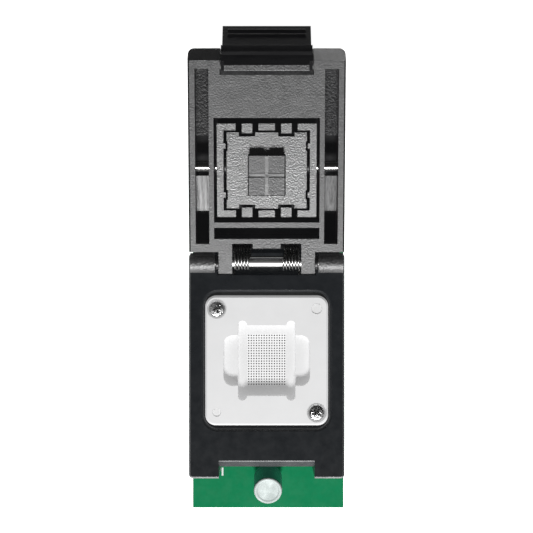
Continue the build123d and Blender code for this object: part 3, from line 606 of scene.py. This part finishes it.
# capacitor leaning over the front of the board; its profiles start at the foot of the sleeve
cap = {"radius": 2.6, "length": 6.2, "lean": 16.0, "x": -0.05, "topY": -33.6, "sleeve": 0.2, "lift": 0.35,
       "bung": 0.5, "leadX": 1.0, "leadRadius": 0.25, "leadIn": 0.12}
lean = radians(cap["lean"])
rim, outer, tall = cap["radius"], cap["radius"] + cap["sleeve"], cap["length"]
capRise = cap["lift"] + outer * sin(lean) + cap["bung"] * cos(lean)
capFoot = (cap["x"], cap["topY"] + cap["length"] * sin(lean), board["top"] + capRise)
capPlace = frame3(capFoot, (1, 0, 0), (0, -sin(lean), cos(lean)))
bm = bmesh.new()
addLathe(bm, [(0, 0.02), (rim, 0.02), (rim, 0.75), (rim - 0.16, 0.95), (rim - 0.16, 1.1), (rim, 1.3),
              (rim, tall - 0.4), (rim + 0.12, tall - 0.3), (rim + 0.15, tall - 0.18),
              (rim + 0.1, tall - 0.06), (rim - 0.02, tall), (rim - 0.2, tall), (rim - 0.4, tall - 0.01),
              (rim - 0.5, tall - 0.06), (rim - 0.6, tall - 0.07), (0.6, tall - 0.06), (0, tall - 0.06)],
         capPlace, steps=64)
finishPiece(bm, "capacitorCan", "canAluminium", "base", ("capacitor_can",),
            smoothAngle=50)
bm = bmesh.new()
addLathe(bm, [(rim - 0.35, 0), (outer - 0.04, 0), (outer, 0.15), (outer, 0.7), (outer - 0.12, 0.95),
              (outer - 0.12, 1.1), (outer, 1.35), (outer, tall - 0.62), (outer - 0.05, tall - 0.48),
              (rim + 0.03, tall - 0.42), (rim + 0.01, tall - 0.5), (rim + 0.01, 0.02),
              (rim - 0.35, 0.02), (rim - 0.35, 0)], capPlace, steps=64)
finishPiece(bm, "capacitorSleeve", "sleeveDark", "base", ("capacitor_sleeve",),
            smoothAngle=50)
bm = bmesh.new()
addLathe(bm, [(0, 0.1), (rim - 0.4, 0.1), (rim - 0.4, -0.38), (rim - 0.52, -cap["bung"]),
              (0, -cap["bung"])], capPlace)
finishPiece(bm, "capacitorBung", "bungRubber", "base", ("capacitor_bung",),
            smoothAngle=50)
bm = bmesh.new()
leadFoot = capPlace @ Vector((0, cap["radius"] / 2, -cap["bung"]))
for x in (-cap["leadX"], cap["leadX"]):
    addRod(bm, (x, leadFoot.y, board["top"]), (x, leadFoot.y, leadFoot.z + cap["leadIn"]),
           cap["leadRadius"], sides=16)
    addLathe(bm, [(0, 0), (0.7, 0), (0.68, 0.04), (0.4, 0.14), (0.26, 0.4), (0, 0.4)],
             Matrix.Translation((x, leadFoot.y, board["top"])), steps=20)
finishPiece(bm, "capacitorLeads", "leadTin", "base", ("capacitor_leads",), smoothAngle=50)
print("capacitor done")

# steel pins and the hinge spring
pins = {"hinge": {"radius": 0.75, "half": 14.5, "edge": 0.12},
        "cross": {"at": (18.4, -2.0), "radius": 1.0, "half": 14.2, "edge": 0.14},
        "latch": {"at": (39.0, -3.9), "radius": 0.75, "half": 14.4, "edge": 0.14}}
hx, hy, hz = lidPose["hinge"]
rod = pins["hinge"]
bm = bmesh.new()
addRod(bm, (hx - rod["half"], hy, hz), (hx + rod["half"], hy, hz), rod["radius"], edge=rod["edge"])
finishPiece(bm, "hingePin", "hingeSteel", "base", ("hinge_pin",))
for name in ("cross", "latch"):
    rod = pins[name]
    bm = bmesh.new()
    addRod(bm, (-rod["half"], *rod["at"]), (rod["half"], *rod["at"]), rod["radius"], edge=rod["edge"],
           place=lidPlane)
    finishPiece(bm, name + "Pin", "pinSteel", "lid", (name + "_pin",))

spring = {"radius": 2.2, "wire": 0.4, "turns": 5.5, "inner": 2.9, "length": 3.59, "sag": 1.05,
          "legEnd": 8.87}
coilY = hy + spring["sag"]
low, high = hz - spring["radius"], hz + spring["radius"]
bm = bmesh.new()
for hand in (-1, 1):
    start = (hx + hand * spring["inner"], coilY, hz)
    addCoil(bm, frame3(start, (0, 0, 1), (hand, 0, 0)), spring["radius"], spring["wire"],
            spring["length"], spring["turns"], stepsPerTurn=28, sides=10)
    legX = hx + hand * (spring["inner"] + spring["length"] - spring["wire"] / 2)
    addRod(bm, (legX, coilY, low), (legX, spring["legEnd"], low), spring["wire"] / 2, sides=10)
bridge = spring["inner"] + spring["wire"] / 2
wire = addRod(bm, (hx - bridge, coilY, high), (hx + bridge, coilY, high), spring["wire"] / 2, sides=10)
finishOf(wire, 1)
finishPiece(bm, "hingeSpring", "springSteel", "base", ("hinge_spring",), smoothAngle=60,
            others=("wireShade",))
print("pins done")

# lid and what it carries, each a copy of its solid with the finer forms added
lid = {"soften": 0.14, "frostAbove": 0.5, "sideX": 14.75, "sideRound": 0.32, "shadeX": 14.5,
       "armX": 7.9, "armFlat": 0.955, "armCut": (2.9, 5, 2), "collarX": (9.15, 9.82),
       "windowX": (10.02, 9.72), "collarRadius": 1.3, "collarEdge": 0.06}
flats = bmesh.new()
for x in (-lid["armX"], lid["armX"]):
    addBlock(flats, (x, 0, lid["armFlat"] + lid["armCut"][2] / 2), lid["armCut"], place=lidPlane)
bm = roundEdges(carve(copyOfNode("lid_housing"), flats), lid["sideRound"], lambda spot: (
    abs((unposed @ spot).x) > lid["sideX"] and (unposed @ spot).z > lidPose["face"] - near))
bm = softenEdges(bm, lid["soften"])
frostFaces(bm, lid["frostAbove"])
finishLidFaces(bm)
for f in bm.faces:
    spot = unposed @ f.calc_center_median()
    if abs(spot.x) > lid["shadeX"] and spot.z > lid["frostAbove"]:
        f.material_index = 7
# raised collars stand round the two pins where they come out of the lid
for hand in (-1, 1):
    for at, (start, end) in (((0, 0), lid["collarX"]), (pins["cross"]["at"], lid["windowX"])):
        addRod(bm, (hand * start, *at), (hand * end, *at), lid["collarRadius"], edge=lid["collarEdge"],
               place=lidPlane)
finishPiece(bm, "lidMoulding", "lidSmooth", "lid", ("lid_housing",), recalc=False,
            others=("lidBlack", "rampLeftPaintedHighlight", "rampRightPaintedHighlight", "slotGrain", "earPaintedShade", "ledgePaintedLight", "edgeShade"))

ring = {"soften": 0.09, "frostAbove": 0.5, "hubX": (8.15, 7.62), "hubRadius": 1.5, "hubEdge": 0.08}
hubStart, hubEnd = ring["hubX"]
bm = softenEdges(copyOfNode("pusher_ring"), ring["soften"])
frostFaces(bm, ring["frostAbove"])
for hand in (-1, 1):
    addRod(bm, (hand * hubStart, *pins["cross"]["at"]), (hand * hubEnd, *pins["cross"]["at"]),
           ring["hubRadius"], edge=ring["hubEdge"], place=lidPlane)
finishPiece(bm, "pusherRing", "lidSmooth", "ring", ("pusher_ring",), recalc=False,
            others=("pusherBlack",))

plate = {"soften": 0.12, "frostAbove": 0.5, "halfX": 7.55, "halfY": 7.15, "centreY": 17.7, "top": 0.95,
         "cornerRadius": 2.0, "cornerDrop": 0.08, "cornerOver": 0.1, "hubInside": 0.15, "hubZ": (-1, 3),
         "bossY": 16.85, "bossTop": 2.55, "boss": (6.5, 7.2), "foot": (6.8, 7.5), "seam": 0.17,
         "seamHeight": 1.0, "insertHeight": 2, "groove": 0.55, "grooveFloor": 1.9, "grooveDepth": 0.2}
bm = copyOfNode("pressure_plate")
# outside its round, each corner lies a little lower
reach, over = plate["cornerRadius"], plate["cornerOver"]
hubLow, hubHigh = plate["hubZ"]
for handX in (-1, 1):
    for handY in (-1, 1):
        hubX = handX * (plate["halfX"] - reach)
        hubY = plate["centreY"] + handY * (plate["halfY"] - reach)
        corner, hub = bmesh.new(), bmesh.new()
        cornerAt = (hubX + handX * reach / 2, hubY + handY * reach / 2,
                    plate["top"] + 0.5 - plate["cornerDrop"])
        addBlock(corner, cornerAt, (reach + over, reach + over, 1), place=lidPlane)
        addRod(hub, (hubX, hubY, hubLow), (hubX, hubY, hubHigh), reach - plate["hubInside"], sides=48,
               place=lidPlane)
        bm = carve(bm, carve(corner, hub))
# a thin seam runs round the foot of the boss
seam, insert = bmesh.new(), bmesh.new()
seamSize = [side + 2 * plate["seam"] for side in plate["foot"]]
addBlock(seam, (0, plate["bossY"], plate["top"]), (*seamSize, plate["seamHeight"]), place=lidPlane)
addBlock(insert, (0, plate["bossY"], plate["top"]), (*plate["foot"], plate["insertHeight"]), place=lidPlane)
bm = softenEdges(carve(bm, carve(seam, insert)), plate["soften"])
frostFaces(bm, plate["frostAbove"])
for f in bm.faces:
    if f.material_index == 1 and (unposed @ f.calc_center_median()).z > plate["bossTop"] - 0.1:
        f.material_index = 2
# strips fill the two grooves that cross the boss to a shallow depth, in a lighter colour that is a painted
# highlight
for size in ((plate["groove"], plate["boss"][1]), (plate["boss"][0], plate["groove"])):
    low, high = plate["grooveFloor"], plate["bossTop"] - plate["grooveDepth"]
    filling = addBlock(bm, (0, plate["bossY"], (low + high) / 2), (*size, high - low), place=lidPlane)
    finishOf(filling, 3)
finishPiece(bm, "pressurePlate", "lidSmooth", "plate", ("pressure_plate",), recalc=False,
            others=("pusherBlack", "lidBlack", "groovePaintedHighlight"))

hook = {"soften": 0.1, "frostAbove": 3.0, "seat": 4.05, "half": 8.45, "side": 0.6, "sunk": 0.01,
        "tip": 36.25, "end": 38.4, "web": 0.35, "highlightedEdges": {"y": (36.0, 36.6), "above": 4.6, "halfX": 7.8}}
bm = softenEdges(copyOfNode("latch"), hook["soften"])
frostFaces(bm, hook["frostAbove"])
# painted highlight along the hook's rounded front edge
paintEdgeHighlights(bm, 2, hook["highlightedEdges"], back=unposed)
webX = hook["half"] - hook["side"] / 2 - hook["sunk"]
for hand in (-1, 1):
    addBlock(bm, (hand * webX, (hook["tip"] + hook["end"]) / 2, hook["seat"] + hook["web"] / 2),
             (hook["side"], hook["end"] - hook["tip"], hook["web"]), place=lidPlane)
finishPiece(bm, "latchMoulding", "latchBlack", "latch", ("latch",), recalc=False,
            others=("hookFrost", "edgePaintedHighlight"))

coil = coils["latch"]
bm = bmesh.new()
for x in coil["x"]:
    addSpring(bm, lidPlane @ frame3((x, *coil["seat"]), (1, 0, 0), (0, 1, 0)), coil)
springs = finishSprings(bm, "latchSprings", "lid", "latch_springs")
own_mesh(springs)

coil = coils["plate"]
bm = bmesh.new()
for x in coil["x"]:
    for y in coil["y"]:
        addSpring(bm, lidPlane @ Matrix.Translation((x, y, coil["seat"])), coil)
springs = finishSprings(bm, "plateSprings", "ring", "plate_springs")
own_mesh(springs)
print("lid done")

# floor, light and camera
studio = {"floorZ": -5.8, "floorSize": 4.0, "floorColour": (0.93, 0.93, 0.93), "floorRoughness": 0.9,
          "glow": 1.0, "world": 0.014}
key = {"position": (0.0, -0.66, 0.52), "target": (0, 0.01, 0.01), "size": (0.24, 0.17), "watts": 10.3}
view = {"x": -0.34, "y": 10.5, "height": 241.0, "lens": 78.9, "sensor": 36.0, "nearest": 0.01}
floor = bpy.data.meshes.new("floor")
bm = bmesh.new()
bmesh.ops.create_grid(bm, x_segments=1, y_segments=1, size=studio["floorSize"] / 2,
                      matrix=Matrix.Translation((0, 0, studio["floorZ"] * mm)))
bm.to_mesh(floor)
bm.free()
paper = bpy.data.materials.new("paper")
paper.use_nodes = True
shader = paper.node_tree.nodes["Principled BSDF"]
shader.inputs["Base Color"].default_value = (*studio["floorColour"], 1)
shader.inputs["Roughness"].default_value = studio["floorRoughness"]
shader.inputs["Emission Color"].default_value = (1, 1, 1, 1)
shader.inputs["Emission Strength"].default_value = studio["glow"]
floor.materials.append(paper)
floorObject = bpy.data.objects.new("floor", floor)
bpy.context.scene.collection.objects.link(floorObject)

# the surroundings look pale, but they give only a little light
world = bpy.data.worlds.new("studio")
world.use_nodes = True
tree = world.node_tree
dim = tree.nodes["Background"]
dim.inputs["Color"].default_value = (1, 1, 1, 1)
dim.inputs["Strength"].default_value = studio["world"]
pale = tree.nodes.new("ShaderNodeBackground")
pale.inputs["Color"].default_value = (1, 1, 1, 1)
choose = tree.nodes.new("ShaderNodeMixShader")
tree.links.new(tree.nodes.new("ShaderNodeLightPath").outputs["Is Camera Ray"], choose.inputs[0])
tree.links.new(dim.outputs[0], choose.inputs[1])
tree.links.new(pale.outputs[0], choose.inputs[2])
tree.links.new(choose.outputs[0], tree.nodes["World Output"].inputs["Surface"])
bpy.context.scene.world = world

# one soft light stands in front of the socket
light = bpy.data.lights.new("key", "AREA")
light.shape = "RECTANGLE"
light.size, light.size_y = key["size"]
light.energy = key["watts"]
lamp = bpy.data.objects.new("key", light)
lamp.location = key["position"]
aim = Vector(key["target"]) - Vector(key["position"])
lamp.rotation_euler = aim.to_track_quat("-Z", "Y").to_euler()
bpy.context.scene.collection.objects.link(lamp)

lens = bpy.data.cameras.new("photoCamera")
lens.lens = view["lens"]
lens.sensor_width = view["sensor"]
lens.clip_start = view["nearest"]
camera = bpy.data.objects.new("photoCamera", lens)
camera.location = (view["x"] * mm, view["y"] * mm, view["height"] * mm)
bpy.context.scene.collection.objects.link(camera)
bpy.context.scene.camera = camera
bpy.context.scene.view_settings.view_transform = "Standard"
print("studio done")
